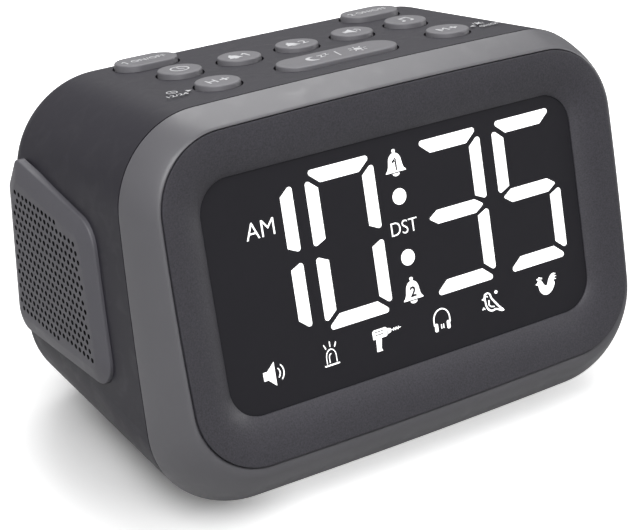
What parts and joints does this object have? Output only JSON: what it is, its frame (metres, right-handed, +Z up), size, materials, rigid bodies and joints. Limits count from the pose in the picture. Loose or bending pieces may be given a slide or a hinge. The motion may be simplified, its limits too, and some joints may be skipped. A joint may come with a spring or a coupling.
{
  "type": "digital alarm clock",
  "caption": "Bedside digital alarm clock with a leaning bezelled display, sprung top buttons, raised side speaker grilles and a hinged battery door.",
  "frame": {"origin": "on the table under the middle of the clock", "axes": "+X right along the front, +Y into the depth, so the front faces -Y, +Z up"},
  "size_m": [0.1376, 0.0866, 0.0917],
  "materials": {
    "main_housing": "fine moulded grain, dark charcoal",
    "front_bezel": "satin mid grey",
    "display_frame": "pebbled dark charcoal",
    "display_lens": "near-black matt window",
    "display_reflector": "white moulded",
    "display_board": "green board",
    "display_screws": "zinc plated",
    "lit_digits": "white light",
    "left_grille": "satin mid grey",
    "right_grille": "satin mid grey",
    "switch_bodies": "black moulded",
    "key_board": "green board",
    "key_board_screws": "zinc plated",
    "speaker_basket": "pressed steel, black",
    "speaker_cone": "pressed paper cone",
    "speaker_magnet": "sintered ferrite",
    "speaker_screws": "zinc plated",
    "speaker_leads": "insulated leads",
    "display_ribbon": "flat cable",
    "main_board": "green board",
    "main_board_screws": "zinc plated",
    "board_chips": "moulded cases",
    "dc_jack": "black moulded",
    "usb_port": "folded sheet",
    "usb_tongue": "black moulded",
    "battery_cells": "plain sleeved cells",
    "battery_contacts": "plated spring steel",
    "battery_door": "fine moulded grain",
    "rubber_feet": "soft black",
    "button": "satin light grey",
    "plunger": "black moulded"
  },
  "bodies": {
    "clock": {"main_housing": "main_housing", "front_bezel": "front_bezel", "display_frame": "display_frame", "display_lens": "display_lens", "display_reflector": "display_reflector", "display_board": "display_board", "display_screws": "display_screws", "lit_digits": "lit_digits", "left_grille": "left_grille", "right_grille": "right_grille", "switch_bodies": "switch_bodies", "key_board": "key_board", "key_board_screws": "key_board_screws", "speaker_basket": "speaker_basket", "speaker_cone": "speaker_cone", "speaker_magnet": "speaker_magnet", "speaker_screws": "speaker_screws", "speaker_leads": "speaker_leads", "display_ribbon": "display_ribbon", "main_board": "main_board", "main_board_screws": "main_board_screws", "board_chips": "board_chips", "dc_jack": "dc_jack", "usb_port": "usb_port", "usb_tongue": "usb_tongue", "battery_cells": "battery_cells", "battery_contacts": "battery_contacts", "rubber_feet": "rubber_feet"},
    "battery_door": {"battery_door": "battery_door"},
    "button_snooze_dimmer": {"button_snooze_dimmer": "button", "plunger_snooze_dimmer": "plunger"},
    "button_hour": {"button_hour": "button", "plunger_hour": "plunger"},
    "button_minute": {"button_minute": "button", "plunger_minute": "plunger"},
    "button_time_set": {"button_time_set": "button", "plunger_time_set": "plunger"},
    "button_alarm1_set": {"button_alarm1_set": "button", "plunger_alarm1_set": "plunger"},
    "button_alarm2_set": {"button_alarm2_set": "button", "plunger_alarm2_set": "plunger"},
    "button_alarm_volume": {"button_alarm_volume": "button", "plunger_alarm_volume": "plunger"},
    "button_alarm_sound": {"button_alarm_sound": "button", "plunger_alarm_sound": "plunger"},
    "button_alarm1_on_off": {"button_alarm1_on_off": "button", "plunger_alarm1_on_off": "plunger"},
    "button_alarm2_on_off": {"button_alarm2_on_off": "button", "plunger_alarm2_on_off": "plunger"}
  },
  "joints": [
    {"name": "snooze_dimmer_press", "type": "slide", "parent": "clock", "child": "button_snooze_dimmer", "axis": [0, -0.1352, -0.9908], "range_m": [0, 0.0006], "stiffness_N_per_m": 1500, "springref_m": -0.0004},
    {"name": "hour_press", "type": "slide", "parent": "clock", "child": "button_hour", "axis": [0, -0.1352, -0.9908], "range_m": [0, 0.0006], "stiffness_N_per_m": 1500, "springref_m": -0.0004},
    {"name": "minute_press", "type": "slide", "parent": "clock", "child": "button_minute", "axis": [0, -0.1352, -0.9908], "range_m": [0, 0.0006], "stiffness_N_per_m": 1500, "springref_m": -0.0004},
    {"name": "time_set_press", "type": "slide", "parent": "clock", "child": "button_time_set", "axis": [0, -0.1352, -0.9908], "range_m": [0, 0.0006], "stiffness_N_per_m": 1500, "springref_m": -0.0004},
    {"name": "alarm1_set_press", "type": "slide", "parent": "clock", "child": "button_alarm1_set", "axis": [0, -0.1352, -0.9908], "range_m": [0, 0.0006], "stiffness_N_per_m": 1500, "springref_m": -0.0004},
    {"name": "alarm2_set_press", "type": "slide", "parent": "clock", "child": "button_alarm2_set", "axis": [0, -0.1352, -0.9908], "range_m": [0, 0.0006], "stiffness_N_per_m": 1500, "springref_m": -0.0004},
    {"name": "alarm_volume_press", "type": "slide", "parent": "clock", "child": "button_alarm_volume", "axis": [0, -0.1352, -0.9908], "range_m": [0, 0.0006], "stiffness_N_per_m": 1500, "springref_m": -0.0004},
    {"name": "alarm_sound_press", "type": "slide", "parent": "clock", "child": "button_alarm_sound", "axis": [0, -0.1352, -0.9908], "range_m": [0, 0.0006], "stiffness_N_per_m": 1500, "springref_m": -0.0004},
    {"name": "alarm1_on_off_press", "type": "slide", "parent": "clock", "child": "button_alarm1_on_off", "axis": [0, -0.1352, -0.9908], "range_m": [0, 0.0006], "stiffness_N_per_m": 1500, "springref_m": -0.0004},
    {"name": "alarm2_on_off_press", "type": "slide", "parent": "clock", "child": "button_alarm2_on_off", "axis": [0, -0.1352, -0.9908], "range_m": [0, 0.0006], "stiffness_N_per_m": 1500, "springref_m": -0.0004},
    {"name": "battery_door_hinge", "type": "hinge", "parent": "clock", "child": "battery_door", "pos_m": [0, 0.04213, 0.0317], "axis": [1, 0, 0], "range_deg": [-95, 0]}
  ]
}
